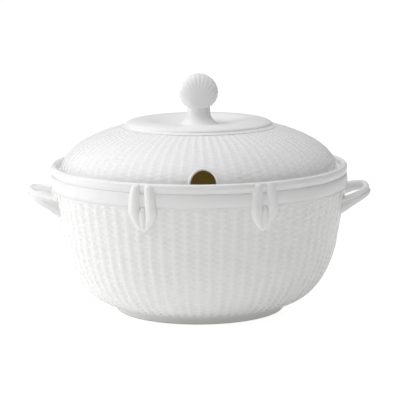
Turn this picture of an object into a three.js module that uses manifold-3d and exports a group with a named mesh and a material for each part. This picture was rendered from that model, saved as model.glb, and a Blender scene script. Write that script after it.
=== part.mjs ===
// Soup tureen with a lift-off lid, in glazed white china. Millimetres, +Z up.
// The origin is the centre of the foot's flat bottom. The ladle notch faces -Y and the handles reach along X.
import * as THREE from 'three';
import { mergeVertices } from 'three/addons/utils/BufferGeometryUtils.js';
import Module from 'manifold-3d';

const wasm = await Module();
wasm.setup();

// Driving dimensions.
const JOINT_GAP = 0.3; // between pieces that touch
const WALL = 4; // of the bowl and the lid
const RIM_RADIUS = 125; // outside, at the lip
const RIM_HEIGHT = 125;
const BAND_CREST = 125.9; // the lower of the two plain bands swells this far out
const BAND_SPLIT = 116.2; // height of the groove between the two bands
const BAND_BOTTOM = 105.3; // the woven wall begins below this
const BAND_GROOVE = 124.7; // radius in the groove
const BAND_STEP = 0.6; // the lower band starts this far outside the groove's radius
const UPPER_BAND_CREST = 125.6;
const LIP_HEIGHT = 2.4; // the lip is rounded over this height
const WOVEN_RADIUS = 125.2; // radius of the woven wall where it meets the band
const WALL_LEAN = 0.173; // the wall closes in by this much per millimetre down
const CORNER_HEIGHT = 50.3; // the bowl's bottom corner is a quarter ellipse
const CORNER_WIDTH = 31.3;
const FOOT_HEIGHT = 8.4;
const FOOT_BOTTOM_RADIUS = 71.8;
const FOOT_TOP_RADIUS = 77;
const FOOT_WIDTH = 6.3;
const FOOT_EDGE = 1; // small bevels at the foot's bottom
const FOOT_WAIST_INSET = 1.6; // the foot's side is hollow: its waist lies inside the top edge by this much
const FOOT_WAIST_HEIGHT = 6;
const FLOOR_THICKNESS = 5;
const LEDGE_HEIGHT = 119.3; // the lid rests on this ledge inside the rim
const LEDGE_RADIUS = 113.2;
const LEDGE_THICKNESS = 3;
const LEDGE_ROOT_HEIGHT = 103; // the ledge's underside runs into the wall here

const LID_RADIUS = 116.6;
const LID_SKIRT = 0.8; // short upright edge below the dome
const LID_EDGE_BEVEL = 0.4;
const LID_CROWN = 43.2; // half height of the ellipse that the dome is turned from
const FLANGE_RADIUS = 112.2; // the ring under the lid that keeps it centred
const FLANGE_WIDTH = 3.8;
const FLANGE_BOTTOM = 111;
const FLANGE_TOP = 122;
const FLANGE_BEVEL = 1;
const CAP_RADIUS = 65.5;
const CAP_EDGE = 0.4; // height of the cap's upright edge
const CAP_ROLL_RADIUS = 62; // the cap's rounded roll ends here, and a thin fillet runs on to its edge
const CAP_FILLET = 1.1; // height of the fillet where it meets the roll, above the dome
const CAP_CREST_RADIUS = 47;
const CAP_CREST_HEIGHT = 162;
const CAP_DISH_RADIUS = 22;
const CAP_DISH_HEIGHT = 158;
const CAP_PLUG_RADIUS = 57.5; // the part of the cap that fills the dome's opening
const NOTCH_RADIUS = 11.2; // opening for the ladle's handle
const NOTCH_TOP = 135;
const NOTCH_BOTTOM = 106; // the cutting prism starts below the flange
const NOTCH_DEPTH = 40; // length of the cutting prism, of which the next value lies inside the lid's edge
const NOTCH_REACH = 24;
const COLLAR_RADIUS = 14.4;
const COLLAR_HEIGHT = 4;
const COLLAR_BEVEL = 0.9;
const NECK_FOOT_WIDTH = 1; // the cone from the collar ends this far outside the neck, and this far below it
const NECK_FOOT_DROP = 2;
const NECK_RADIUS = 10;
const NECK_START = 168.5;
const NECK_TOP = 171.5;
const SHELL_RADIUS = 16.9;
const SHELL_HEIGHT = 183.8; // of its centre
const SHELL_HINGE_DROP = 0.72; // from the centre down to where the ribs meet, in shell radii
const SHELL_HALF_DEPTH = 10.4; // at the hinge, where the shell is thickest
const SHELL_LOBES = 26; // ribs if they ran all the way round; the neck hides the lowest ones
const SHELL_SCALLOP = 0.03;
const SHELL_STEPS = 3; // facets across each rib
const SHELL_RINGS = 10;

const HANDLE_ROOT_HEIGHT = 93.4; // centre of the strap where it leaves the wall
const HANDLE_ROOT_RADIUS = 117;
const HANDLE_REACH = 27.2; // along the sloping plane of the handle
const HANDLE_HALF_WIDTH = 32.5;
const HANDLE_RUN = 7; // the strap is drawn this far into the wall, then cut back to it
const HANDLE_SLOPE = THREE.MathUtils.degToRad(18.6);
const HANDLE_SQUARENESS = 2.6; // exponent of the superellipse that the strap follows
const REED_RADIUS = 2.5; // each handle is two reeds side by side
const REED_OFFSET = 1.9;
const HANDLE_FLARE_UP = 0.1; // extra strap height where it meets the wall, above its centre line
const HANDLE_FLARE_DOWN = 0.95; // and below it

const LOOP_ANGLE = THREE.MathUtils.degToRad(22.7); // rim loops, to each side of the front and of the back
const LOOP_TOP = 124.4;
const LOOP_TIP = 86;
const LOOP_RADIUS = 125.6; // distance of the strands' centre line from the axis
// Points of one strand's centre line: distance to the side, distance out from that radius, share of the drop.
const STRAND_ROUTE = [[5, 0, 0], [6.6, 0.4, 0.3], [7.1, -0.2, 0.58], [4.6, -1.6, 0.82], [0.8, -3, 0.96]];
const STRAND_HALF_WIDTH = 3.3;
const STRAND_HALF_DEPTH = 3.6;
const LEAF_HALF_WIDTH = 5.6; // the leaf between the strands
const LEAF_HALF_DEPTH = 3.4;
const LEAF_HALF_HEIGHT = 10.5;
const LEAF_INSET = 1.8; // its centre lies this far inside the strands' radius
const LEAF_RISE = 2; // and its lowest point this far above the loop's tip

const ROUND_STEPS = 60; // facets round the large turned pieces
const SMALL_ROUND_STEPS = 32; // and round the collar
const SIDE_STEPS = 10; // facets up the bowl's outer wall
const INSIDE_STEPS = 7; // and up its inner one
const HALF_ROUND_STEPS = 5; // facets round a small half circle

const CORNER_TOP = FOOT_HEIGHT + JOINT_GAP + CORNER_HEIGHT;
const LID_BOTTOM = LEDGE_HEIGHT + JOINT_GAP;
const LID_SPRING = LID_BOTTOM + LID_SKIRT;
const DOME_OPENING = CAP_PLUG_RADIUS + JOINT_GAP;

const GLAZE = new THREE.Color(0.93, 0.93, 0.92);

function glazedChina() {
  return new THREE.MeshStandardMaterial({ color: GLAZE, roughness: 0.22, metalness: 0 });
}

// Turning: a profile of [radius, height] pairs becomes a body of revolution about Z.
function turned(profile, steps = ROUND_STEPS) {
  const geometry = new THREE.LatheGeometry(profile.map(([r, z]) => new THREE.Vector2(r, z)), steps);
  return geometry.rotateX(Math.PI / 2);
}

// Points of an elliptical arc, from the start angle to the end angle in degrees.
function arc(centreR, centreZ, halfR, halfZ, start, end, steps) {
  return Array.from({ length: steps + 1 }, (_, i) => {
    const angle = THREE.MathUtils.degToRad(start + ((end - start) * i) / steps);
    return [centreR + halfR * Math.cos(angle), centreZ + halfZ * Math.sin(angle)];
  });
}

// A closed geometry as a solid that can be cut and joined.
function solidOf(geometry) {
  const bare = geometry.clone();
  bare.deleteAttribute('normal');
  bare.deleteAttribute('uv');
  const merged = mergeVertices(bare, 1e-3);
  const corners = merged.index.array;
  const faces = [];
  for (let i = 0; i < corners.length; i += 3) {
    const [a, b, c] = corners.slice(i, i + 3);
    if (a !== b && b !== c && c !== a) faces.push(a, b, c);
  }
  const vertProperties = new Float32Array(merged.attributes.position.array);
  return new wasm.Manifold(new wasm.Mesh({ numProp: 3, vertProperties, triVerts: new Uint32Array(faces) }));
}

function geometryOf(solid) {
  const { vertProperties, triVerts } = solid.getMesh();
  const geometry = new THREE.BufferGeometry();
  geometry.setAttribute('position', new THREE.BufferAttribute(vertProperties, 3));
  geometry.setIndex(new THREE.BufferAttribute(triVerts, 1));
  return geometry;
}

// Radius of the bowl at a height, for the outer surface (wall 0) or the inner one.
function bowlRadius(z, wall = 0) {
  const floor = FOOT_HEIGHT + JOINT_GAP + (wall > 0 ? FLOOR_THICKNESS : 0);
  const depth = Math.min(Math.max((CORNER_TOP - z) / (CORNER_TOP - floor), 0), 1);
  const corner = CORNER_WIDTH * (1 - Math.sqrt(1 - depth * depth));
  return WOVEN_RADIUS - wall - WALL_LEAN * (BAND_BOTTOM - z) - corner;
}

// The bowl's wall from its floor to a height, with points crowded towards the tight bottom corner.
function bowlSide(top, wall, steps) {
  const floor = FOOT_HEIGHT + JOINT_GAP + (wall > 0 ? FLOOR_THICKNESS : 0);
  return Array.from({ length: steps + 1 }, (_, i) => {
    const z = floor + (top - floor) * (1 - Math.cos((i / steps) * (Math.PI / 2)));
    return [bowlRadius(z, wall), z];
  });
}

// The two bands of the rim and the part of the rounded lip that lies within an angle, from outside inwards.
function bandProfile(lipAngle, lipSteps) {
  const lowerMiddle = (BAND_BOTTOM + BAND_SPLIT) / 2;
  const lipStart = RIM_HEIGHT - LIP_HEIGHT;
  return [
    [BAND_GROOVE + BAND_STEP, BAND_BOTTOM],
    [BAND_CREST, lowerMiddle],
    [BAND_GROOVE, BAND_SPLIT],
    [UPPER_BAND_CREST, (BAND_SPLIT + lipStart) / 2],
    ...arc(RIM_RADIUS - WALL / 2, lipStart, WALL / 2, LIP_HEIGHT, 0, lipAngle, lipSteps),
  ];
}

function bowl() {
  const floor = FOOT_HEIGHT + JOINT_GAP;
  const ledge = [
    [RIM_RADIUS - WALL, LEDGE_HEIGHT],
    [LEDGE_RADIUS, LEDGE_HEIGHT],
    [LEDGE_RADIUS, LEDGE_HEIGHT - LEDGE_THICKNESS],
  ];
  const outside = [...bowlSide(BAND_BOTTOM, 0, SIDE_STEPS), ...bandProfile(180, HALF_ROUND_STEPS)];
  const inside = bowlSide(LEDGE_ROOT_HEIGHT, WALL, INSIDE_STEPS).reverse();
  return turned([[0, floor], ...outside, ...ledge, ...inside, [0, floor + FLOOR_THICKNESS]]);
}

// The space that the bowl and a joint gap take up, for cutting whatever is fixed to its outside.
function bowlClearance() {
  const outside = [...bowlSide(BAND_BOTTOM, 0, SIDE_STEPS), ...bandProfile(72, 2)];
  const grown = outside.map(([r, z]) => [r + JOINT_GAP, z]);
  const top = RIM_HEIGHT + JOINT_GAP;
  return solidOf(turned([[0, FOOT_HEIGHT], ...grown, [RIM_RADIUS - WALL, top], [0, top]]));
}

function footRing() {
  const inner = FOOT_BOTTOM_RADIUS - FOOT_WIDTH;
  return turned([
    [inner + FOOT_EDGE, 0],
    [FOOT_BOTTOM_RADIUS - FOOT_EDGE, 0],
    [FOOT_BOTTOM_RADIUS, FOOT_EDGE],
    [FOOT_TOP_RADIUS - FOOT_WAIST_INSET, FOOT_WAIST_HEIGHT],
    [FOOT_TOP_RADIUS, FOOT_HEIGHT],
    [inner - FOOT_EDGE, FOOT_HEIGHT],
    [inner, FOOT_EDGE],
    [inner + FOOT_EDGE, 0],
  ]);
}

// Half of a superellipse from one end of the strap to the other, run on a little into the wall.
class StrapCurve extends THREE.Curve {
  getPoint(t) {
    const angle = (t - 0.5) * Math.PI;
    const power = 2 / HANDLE_SQUARENESS;
    const x = (HANDLE_REACH + HANDLE_RUN) * Math.cos(angle) ** power - HANDLE_RUN;
    const y = HANDLE_HALF_WIDTH * Math.sign(angle) * Math.abs(Math.sin(angle)) ** power;
    return new THREE.Vector3(x, y, 0);
  }
}

// Section of the strap: two reeds whose outlines meet in a groove.
function strapSection() {
  const meet = Math.acos(REED_OFFSET / REED_RADIUS);
  const section = new THREE.Shape();
  section.absarc(REED_OFFSET, 0, REED_RADIUS, meet - Math.PI, Math.PI - meet, false);
  section.absarc(-REED_OFFSET, 0, REED_RADIUS, meet, 2 * Math.PI - meet, false);
  return section;
}

function handle(turn, clearance) {
  const extrudePath = new StrapCurve();
  const sweep = { steps: 20, curveSegments: HALF_ROUND_STEPS, extrudePath };
  const strap = new THREE.ExtrudeGeometry(strapSection(), sweep);
  const points = strap.attributes.position;
  for (let i = 0; i < points.count; i += 1) {
    const towardsWall = THREE.MathUtils.clamp(1 - points.getX(i) / HANDLE_REACH, 0, 1);
    const flare = points.getZ(i) > 0 ? HANDLE_FLARE_UP : HANDLE_FLARE_DOWN;
    points.setZ(i, points.getZ(i) * (1 + flare * towardsWall ** 2));
  }
  strap.rotateY(-HANDLE_SLOPE);
  strap.translate(HANDLE_ROOT_RADIUS, 0, HANDLE_ROOT_HEIGHT);
  strap.rotateZ(turn);
  return geometryOf(solidOf(strap).subtract(clearance));
}

// One strand of a rim loop, drawn at the front: from the lip it bows out and closes in on the tip.
function strand(side) {
  const drop = LOOP_TOP - LOOP_TIP;
  const stops = STRAND_ROUTE.map(
    ([spread, out, share]) => new THREE.Vector3(side * spread, -LOOP_RADIUS - out, LOOP_TOP - drop * share),
  );
  const section = new THREE.Shape();
  section.absellipse(0, 0, STRAND_HALF_DEPTH, STRAND_HALF_WIDTH, 0, 2 * Math.PI, false);
  const extrudePath = new THREE.CatmullRomCurve3(stops);
  const sweep = { steps: 9, curveSegments: HALF_ROUND_STEPS, extrudePath };
  const strap = new THREE.ExtrudeGeometry(section, sweep);
  return solidOf(strap);
}

function rimLoop(turn, clearance) {
  const leaf = new THREE.SphereGeometry(1, 10, 8);
  leaf.scale(LEAF_HALF_WIDTH, LEAF_HALF_DEPTH, LEAF_HALF_HEIGHT);
  leaf.translate(0, LEAF_INSET - LOOP_RADIUS, LOOP_TIP + LEAF_RISE + LEAF_HALF_HEIGHT);
  const loop = strand(1).add(strand(-1)).add(solidOf(leaf));
  const placed = geometryOf(loop).rotateZ(turn);
  return geometryOf(solidOf(placed).subtract(clearance));
}

// The notch for the ladle, as a prism with a round top that runs through the lid's front edge.
function ladleNotch() {
  const archCentre = NOTCH_TOP - NOTCH_RADIUS;
  const outline = new THREE.Shape();
  outline.moveTo(-NOTCH_RADIUS, NOTCH_BOTTOM);
  outline.lineTo(NOTCH_RADIUS, NOTCH_BOTTOM);
  outline.lineTo(NOTCH_RADIUS, archCentre);
  outline.absarc(0, archCentre, NOTCH_RADIUS, 0, Math.PI, false);
  const cut = { depth: NOTCH_DEPTH, bevelEnabled: false, curveSegments: 2 * HALF_ROUND_STEPS };
  const prism = new THREE.ExtrudeGeometry(outline, cut);
  prism.rotateX(Math.PI / 2);
  prism.translate(0, NOTCH_REACH - LID_RADIUS, 0);
  return solidOf(prism);
}

// Height of the dome's outer surface at a radius.
function domeHeight(r) {
  return LID_SPRING + LID_CROWN * Math.sqrt(1 - (r / LID_RADIUS) ** 2);
}

function lidDome(notch) {
  const inner = LID_RADIUS - WALL;
  const outerEnd = THREE.MathUtils.radToDeg(Math.acos(DOME_OPENING / LID_RADIUS));
  const innerStart = THREE.MathUtils.radToDeg(Math.acos(DOME_OPENING / inner));
  const profile = [
    [inner, LID_BOTTOM],
    [LID_RADIUS - LID_EDGE_BEVEL, LID_BOTTOM],
    ...arc(0, LID_SPRING, LID_RADIUS, LID_CROWN, 0, outerEnd, 10),
    ...arc(0, LID_SPRING, inner, LID_CROWN - WALL, innerStart, 0, 8),
    [inner, LID_BOTTOM],
  ];
  return geometryOf(solidOf(turned(profile)).subtract(notch));
}

function lidFlange(notch) {
  const inner = FLANGE_RADIUS - FLANGE_WIDTH;
  const profile = [
    [inner + FLANGE_BEVEL, FLANGE_BOTTOM],
    [FLANGE_RADIUS - FLANGE_BEVEL, FLANGE_BOTTOM],
    [FLANGE_RADIUS, FLANGE_BOTTOM + FLANGE_BEVEL],
    [FLANGE_RADIUS, FLANGE_TOP - FLANGE_BEVEL],
    [inner, FLANGE_TOP],
    [inner, FLANGE_BOTTOM + FLANGE_BEVEL],
    [inner + FLANGE_BEVEL, FLANGE_BOTTOM],
  ];
  return geometryOf(solidOf(turned(profile)).subtract(notch));
}

function lidCap() {
  const underside = CAP_DISH_HEIGHT - WALL;
  const bottom = domeHeight(CAP_RADIUS) + JOINT_GAP;
  const rollEnd = domeHeight(CAP_ROLL_RADIUS) + CAP_FILLET;
  const rollWidth = CAP_ROLL_RADIUS - CAP_CREST_RADIUS;
  const rollHeight = CAP_CREST_HEIGHT - rollEnd;
  const roll = arc(CAP_CREST_RADIUS, rollEnd, rollWidth, rollHeight, 0, 90, HALF_ROUND_STEPS);
  const dishWidth = CAP_CREST_RADIUS - CAP_DISH_RADIUS;
  const dish = [2 / 3, 1 / 3, 0].map((t) => {
    const fall = (CAP_CREST_HEIGHT - CAP_DISH_HEIGHT) * (0.5 - 0.5 * Math.cos(Math.PI * t));
    return [CAP_DISH_RADIUS + dishWidth * t, CAP_DISH_HEIGHT + fall];
  });
  return turned([
    [0, underside],
    [CAP_PLUG_RADIUS, underside],
    [CAP_PLUG_RADIUS, domeHeight(CAP_PLUG_RADIUS) + JOINT_GAP],
    [CAP_RADIUS, bottom],
    [CAP_RADIUS, bottom + CAP_EDGE],
    ...roll,
    ...dish,
    [0, CAP_DISH_HEIGHT],
  ]);
}

function finialCollar() {
  const bottom = CAP_DISH_HEIGHT + JOINT_GAP;
  return turned([
    [0, bottom],
    [COLLAR_RADIUS, bottom],
    [COLLAR_RADIUS, bottom + COLLAR_HEIGHT - COLLAR_BEVEL],
    [COLLAR_RADIUS - COLLAR_BEVEL, bottom + COLLAR_HEIGHT],
    [NECK_RADIUS + NECK_FOOT_WIDTH, NECK_START - NECK_FOOT_DROP],
    [NECK_RADIUS, NECK_START],
    [NECK_RADIUS, NECK_TOP],
    [0, NECK_TOP],
  ], SMALL_ROUND_STEPS);
}

// The shell stands on the neck. It is a round fan whose ribs run from the hinge to a scalloped edge:
// a ball whose front and back poles are drawn down to the hinge, so that it is thickest there.
function shellFinial() {
  const ball = new THREE.SphereGeometry(1, SHELL_LOBES * SHELL_STEPS, SHELL_RINGS);
  const points = ball.attributes.position;
  for (let i = 0; i < points.count; i += 1) {
    const reach = Math.min(Math.hypot(points.getX(i), points.getZ(i)), 1);
    const around = Math.atan2(points.getX(i), points.getZ(i));
    const scallop = 1 - SHELL_SCALLOP * reach * (0.5 - 0.5 * Math.cos(around * SHELL_LOBES));
    const fall = SHELL_HINGE_DROP * (1 - reach);
    points.setX(i, SHELL_RADIUS * reach * Math.sin(around) * scallop);
    points.setY(i, SHELL_HALF_DEPTH * points.getY(i) * scallop);
    points.setZ(i, SHELL_HEIGHT + SHELL_RADIUS * (reach * Math.cos(around) * scallop - fall));
  }
  const size = 4 * SHELL_RADIUS;
  const below = new THREE.BoxGeometry(size, size, size);
  below.translate(0, 0, NECK_TOP + JOINT_GAP - size / 2);
  return geometryOf(solidOf(ball).subtract(solidOf(below)));
}

const tureen = new THREE.Group();
const lid = new THREE.Group();
tureen.add(lid);

function addPiece(group, name, geometry) {
  const piece = new THREE.Mesh(geometry, glazedChina());
  piece.name = name;
  group.add(piece);
}

const clearance = bowlClearance();
const notch = ladleNotch();

addPiece(tureen, 'bowl', bowl());
addPiece(tureen, 'foot_ring', footRing());
addPiece(tureen, 'handle_right', handle(0, clearance));
addPiece(tureen, 'handle_left', handle(Math.PI, clearance));
addPiece(tureen, 'rim_loop_front_left', rimLoop(-LOOP_ANGLE, clearance));
addPiece(tureen, 'rim_loop_front_right', rimLoop(LOOP_ANGLE, clearance));
addPiece(tureen, 'rim_loop_back_right', rimLoop(Math.PI - LOOP_ANGLE, clearance));
addPiece(tureen, 'rim_loop_back_left', rimLoop(Math.PI + LOOP_ANGLE, clearance));

addPiece(lid, 'lid_dome', lidDome(notch));
addPiece(lid, 'lid_flange', lidFlange(notch));
addPiece(lid, 'lid_cap', lidCap());
addPiece(lid, 'finial_collar', finialCollar());
addPiece(lid, 'shell_finial', shellFinial());

export default tureen;
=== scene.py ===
import math

import bmesh
import bpy
from mathutils import Matrix, Vector


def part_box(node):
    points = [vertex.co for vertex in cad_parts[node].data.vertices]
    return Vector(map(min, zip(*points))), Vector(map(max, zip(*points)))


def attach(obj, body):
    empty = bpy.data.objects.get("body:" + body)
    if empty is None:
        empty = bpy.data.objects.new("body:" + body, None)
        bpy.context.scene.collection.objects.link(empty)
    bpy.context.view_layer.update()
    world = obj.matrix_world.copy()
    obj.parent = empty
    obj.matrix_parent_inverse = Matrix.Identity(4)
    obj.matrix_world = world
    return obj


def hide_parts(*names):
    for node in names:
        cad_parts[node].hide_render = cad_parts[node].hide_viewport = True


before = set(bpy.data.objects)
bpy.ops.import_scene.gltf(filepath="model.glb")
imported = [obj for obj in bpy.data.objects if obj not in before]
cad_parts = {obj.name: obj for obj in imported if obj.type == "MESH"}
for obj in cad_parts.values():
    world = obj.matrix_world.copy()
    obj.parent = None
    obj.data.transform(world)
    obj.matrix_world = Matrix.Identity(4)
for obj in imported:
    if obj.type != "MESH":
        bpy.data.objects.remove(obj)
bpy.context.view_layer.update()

# A soup tureen in glazed white china: a woven bowl on a foot ring, with two reeded handles and four rim
# loops, and a woven lid with a plain cap, a ladle notch and a shell knob.
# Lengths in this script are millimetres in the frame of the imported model; MM turns them into metres.

MM = 0.001


def low_corner(node):
    """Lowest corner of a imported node, in millimetres."""
    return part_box(node)[0] / MM


def high_corner(node):
    """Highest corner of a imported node, in millimetres."""
    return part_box(node)[1] / MM


BOWL_LOW = low_corner("bowl")
BOWL_HIGH = high_corner("bowl")
FOOT_HIGH = high_corner("foot_ring")
DOME_LOW = low_corner("lid_dome")
DOME_HIGH = high_corner("lid_dome")
FLANGE_LOW = low_corner("lid_flange")
FLANGE_HIGH = high_corner("lid_flange")
CAP_LOW = low_corner("lid_cap")
CAP_HIGH = high_corner("lid_cap")
COLLAR_LOW = low_corner("finial_collar")
COLLAR_HIGH = high_corner("finial_collar")
SHELL_HIGH = high_corner("shell_finial")
LOOP_LOW = low_corner("rim_loop_front_right")

# Bowl
WALL = 4.0
WALL_LEAN = 0.173  # the wall closes in by this much per millimetre down
CORNER_HEIGHT = 50.3  # the bottom corner is a quarter ellipse
CORNER_WIDTH = 31.3
FLOOR_THICKNESS = 5.0
RIM_HEIGHT = BOWL_HIGH.z
BAND_CREST = BOWL_HIGH.x
RIM_RADIUS = BAND_CREST - 0.9
BAND_SPLIT = RIM_HEIGHT - 8.8
BAND_BOTTOM = RIM_HEIGHT - 19.7
WOVEN_RADIUS = BAND_CREST - 0.7  # radius of the woven wall where it meets the band
CORNER_TOP = BOWL_LOW.z + CORNER_HEIGHT
LEDGE_HEIGHT = DOME_LOW.z - 0.3
LEDGE_RADIUS = FLANGE_HIGH.x + 1.0
LEDGE_ROOT = LEDGE_HEIGHT - 16.3

# Lid
LID_RADIUS = DOME_HIGH.x
LID_SPRING = DOME_LOW.z + 0.8
LID_CROWN = 43.2  # half height of the ellipse that the dome is turned from
CAP_RADIUS = CAP_HIGH.x
CAP_PLUG = 57.5  # the part of the cap that fills the dome's opening
CAP_TOP = CAP_HIGH.z
CAP_CREST = 47.0  # radius of the cap's highest ring
CAP_ROLL = 62.0  # its rounded roll ends here, and a thin fillet runs on to the edge
CAP_DISH = 22.0  # radius of the flat floor of its dish
DISH_TOP = COLLAR_LOW.z - 0.3
NOTCH_RADIUS = 11.2
NOTCH_CENTRE = 123.8

# Weave
BOWL_STAKES = 78
BOWL_ROWS = 48
LID_STAKES = 82
LID_ROWS = 31
BOWL_RELIEF = 0.58
LID_RELIEF = 0.28
SKIN = 2.0  # thickness of the woven skin, which is bedded in the plain body below it
BEDDING = 1.2  # the plain body lies this far below the woven outline

SMOOTH_STEPS = 192


# ---------------------------------------------------------------- shapes turned on the wheel

def bowl_radius(z, inset=0.0):
    """Radius of the bowl's wall at a height, on the outside or an inset below it."""
    floor = BOWL_LOW.z + inset * FLOOR_THICKNESS / WALL
    depth = min(max((CORNER_TOP - z) / (CORNER_TOP - floor), 0.0), 1.0)
    corner = CORNER_WIDTH * (1.0 - math.sqrt(1.0 - depth * depth))
    return WOVEN_RADIUS - inset - WALL_LEAN * (BAND_BOTTOM - z) - corner


def bowl_side(top, inset, steps):
    """Points up the bowl's wall, crowded towards the tight bottom corner."""
    floor = BOWL_LOW.z + inset * FLOOR_THICKNESS / WALL
    heights = [floor + (top - floor) * (1.0 - math.cos(i / steps * math.pi / 2)) for i in range(steps + 1)]
    return [(bowl_radius(z, inset), z) for z in heights]


def arc(centre_r, centre_z, half_r, half_z, start, end, steps):
    """Points of an elliptical arc between two angles in degrees."""
    angles = [math.radians(start + (end - start) * i / steps) for i in range(steps + 1)]
    return [(centre_r + half_r * math.cos(a), centre_z + half_z * math.sin(a)) for a in angles]


def bend(start, corner, end, steps):
    """Points of a curve that leaves one point for a corner and turns to another point."""
    points = []
    for k in range(steps + 1):
        t = k / steps
        point = Vector(start) * (1 - t) ** 2 + Vector(corner) * 2 * t * (1 - t) + Vector(end) * t * t
        points.append((point.x, point.y))
    return points


def softened(corners, steps=5):
    """A profile whose corners are rounded, each (radius, height, rounding)."""
    points = []
    last = len(corners) - 1
    for i, (r, z, rounding) in enumerate(corners):
        if rounding == 0 or i in (0, last):
            points.append((r, z))
            continue
        here = Vector((r, z))
        back = Vector(corners[i - 1][:2]) - here
        on = Vector(corners[i + 1][:2]) - here
        start = here + back.normalized() * min(rounding, back.length * 0.48)
        end = here + on.normalized() * min(rounding, on.length * 0.48)
        points += bend(start, here, end, steps)
    return points


def new_object(name, mesh):
    obj = bpy.data.objects.new(name, mesh)
    bpy.context.scene.collection.objects.link(obj)
    return obj


def closed_mesh(name, verts, faces, sharp_angle=42.0):
    """A mesh in metres from millimetre points, with doubles merged, faces outwards and soft shading."""
    mesh = bpy.data.meshes.new(name)
    mesh.from_pydata([Vector(v) * MM for v in verts], [], faces)
    soften_mesh(mesh, sharp_angle)
    return mesh


def soften_mesh(mesh, sharp_angle=42.0, merge=0.00001):
    work = bmesh.new()
    work.from_mesh(mesh)
    bmesh.ops.remove_doubles(work, verts=work.verts, dist=merge)
    bmesh.ops.dissolve_degenerate(work, edges=work.edges, dist=merge / 2)
    bmesh.ops.recalc_face_normals(work, faces=work.faces)
    for face in work.faces:
        face.smooth = True
    for edge in work.edges:
        sharp = len(edge.link_faces) == 2 and edge.calc_face_angle(0.0) > math.radians(sharp_angle)
        edge.smooth = not sharp
    work.to_mesh(mesh)
    work.free()


def turned(name, profile, steps=SMOOTH_STEPS):
    """A body of revolution. Its profile starts and ends on the axis, or closes on itself."""
    verts = []
    for i in range(steps):
        angle = 2 * math.pi * i / steps
        verts += [(r * math.cos(angle), r * math.sin(angle), z) for r, z in profile]
    count = len(profile)
    faces = []
    for i in range(steps):
        here = i * count
        there = (i + 1) % steps * count
        for k in range(count - 1):
            corners = [here + k, there + k, there + k + 1, here + k + 1]
            if profile[k][0] < 1e-6:
                corners.remove(there + k)
            if profile[k + 1][0] < 1e-6:
                corners.remove(here + k + 1)
            if len(corners) > 2:
                faces.append(corners)
    return new_object(name, closed_mesh(name, verts, faces))


# ---------------------------------------------------------------- woven skin, made by geometry nodes

class NodeMaths:
    """Places nodes in a tree and joins them up."""

    def __init__(self, tree):
        self.tree = tree

    def node(self, kind, **settings):
        node = self.tree.nodes.new(kind)
        for name, value in settings.items():
            setattr(node, name, value)
        return node

    def feed(self, socket, value):
        if isinstance(value, bpy.types.NodeSocket):
            self.tree.links.new(value, socket)
        else:
            socket.default_value = value

    def math(self, operation, *values):
        node = self.node("ShaderNodeMath", operation=operation)
        for socket, value in zip(node.inputs, values):
            self.feed(socket, value)
        return node.outputs[0]

    def smooth_step(self, value, low, high):
        node = self.node("ShaderNodeMapRange", interpolation_type="SMOOTHSTEP")
        for name, item in (("Value", value), ("From Min", low), ("From Max", high)):
            self.feed(node.inputs[name], item)
        return node.outputs[0]

    def square(self, value):
        return self.math("MULTIPLY", value, value)

    def either(self, choice, when_false, when_true):
        step = self.math("SUBTRACT", when_true, when_false)
        return self.math("ADD", when_false, self.math("MULTIPLY", choice, step))


WEAVE_INPUTS = (
    ("Stakes", "NodeSocketInt", 78),
    ("Rows", "NodeSocketInt", 48),
    ("Samples per stake", "NodeSocketInt", 8),
    ("Samples per row", "NodeSocketInt", 3),
    ("Relief", "NodeSocketFloat", 0.0006),
    ("Stake relief", "NodeSocketFloat", 0.75),
    ("Stake width", "NodeSocketFloat", 0.19),
    ("First stake", "NodeSocketFloat", 0.0),
    ("Skin", "NodeSocketFloat", 0.002),
    ("Back lines", "NodeSocketInt", 6),
    ("Plain start", "NodeSocketFloat", 0.02),
    ("Plain end", "NodeSocketFloat", 0.02),
    ("Plain centre", "NodeSocketFloat", 0.0),
    ("Plain radius", "NodeSocketFloat", 0.0),
    ("Material", "NodeSocketMaterial", None),
)


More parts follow.
